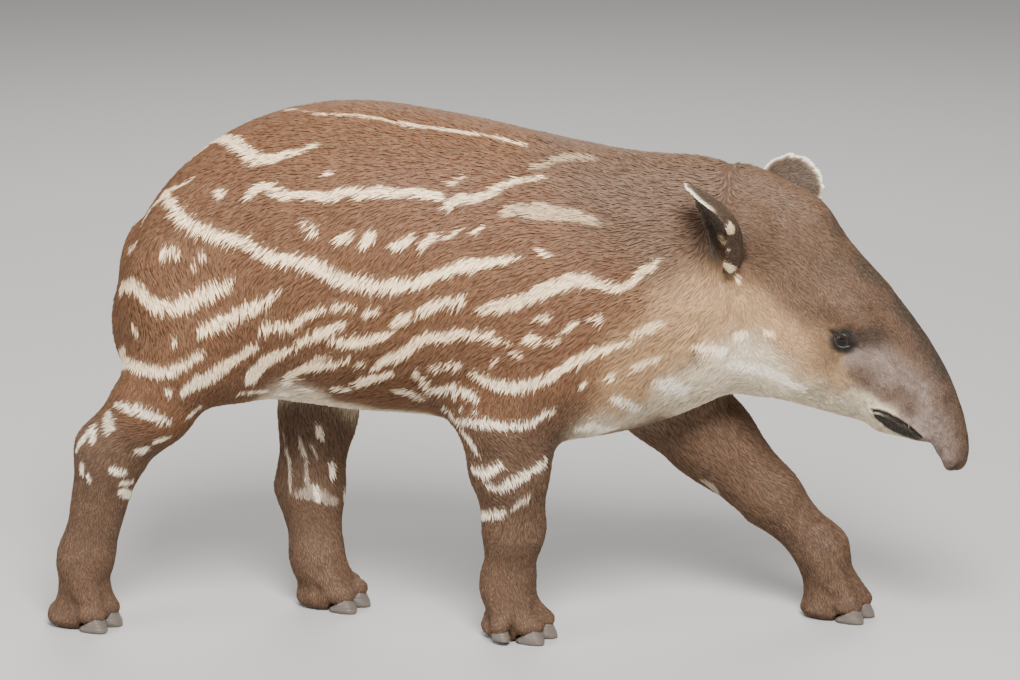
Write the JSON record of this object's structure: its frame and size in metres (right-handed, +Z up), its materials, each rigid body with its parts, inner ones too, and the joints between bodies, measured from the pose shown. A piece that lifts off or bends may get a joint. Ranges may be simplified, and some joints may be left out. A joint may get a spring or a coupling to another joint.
{
  "type": "lowland tapir calf",
  "caption": "Life-size still model of a striped lowland tapir calf walking, head lowered, short trunk-like nose, rounded ears and separate hooves.",
  "frame": {"origin": "centre of the bounding box at floor level, under the belly", "axes": "+X towards the nose along the body, +Y to the animal's left, +Z up"},
  "size_m": [0.9724, 0.283, 0.559],
  "materials": {
    "hide": "short fur",
    "lower_leg": "short fur",
    "eye": "wet gloss",
    "hoof": "satin horn"
  },
  "bodies": {
    "root": {"torso": "hide", "neck": "hide", "head": "hide", "tail": "hide", "ear_right": "hide", "ear_left": "hide", "eye_right": "eye", "eye_left": "eye", "upper_arm_front_right": "hide", "forearm_front_right": "hide", "foot_front_right": "lower_leg", "hoof_inner_front_right": "hoof", "hoof_middle_front_right": "hoof", "hoof_outer_front_right": "hoof", "hoof_little_front_right": "hoof", "upper_arm_front_left": "hide", "forearm_front_left": "hide", "foot_front_left": "lower_leg", "hoof_inner_front_left": "hoof", "hoof_middle_front_left": "hoof", "hoof_outer_front_left": "hoof", "hoof_little_front_left": "hoof", "thigh_hind_right": "hide", "shank_hind_right": "hide", "foot_hind_right": "lower_leg", "hoof_inner_hind_right": "hoof", "hoof_middle_hind_right": "hoof", "hoof_outer_hind_right": "hoof", "thigh_hind_left": "hide", "shank_hind_left": "hide", "foot_hind_left": "lower_leg", "hoof_inner_hind_left": "hoof", "hoof_middle_hind_left": "hoof", "hoof_outer_hind_left": "hoof"}
  },
  "joints": []
}
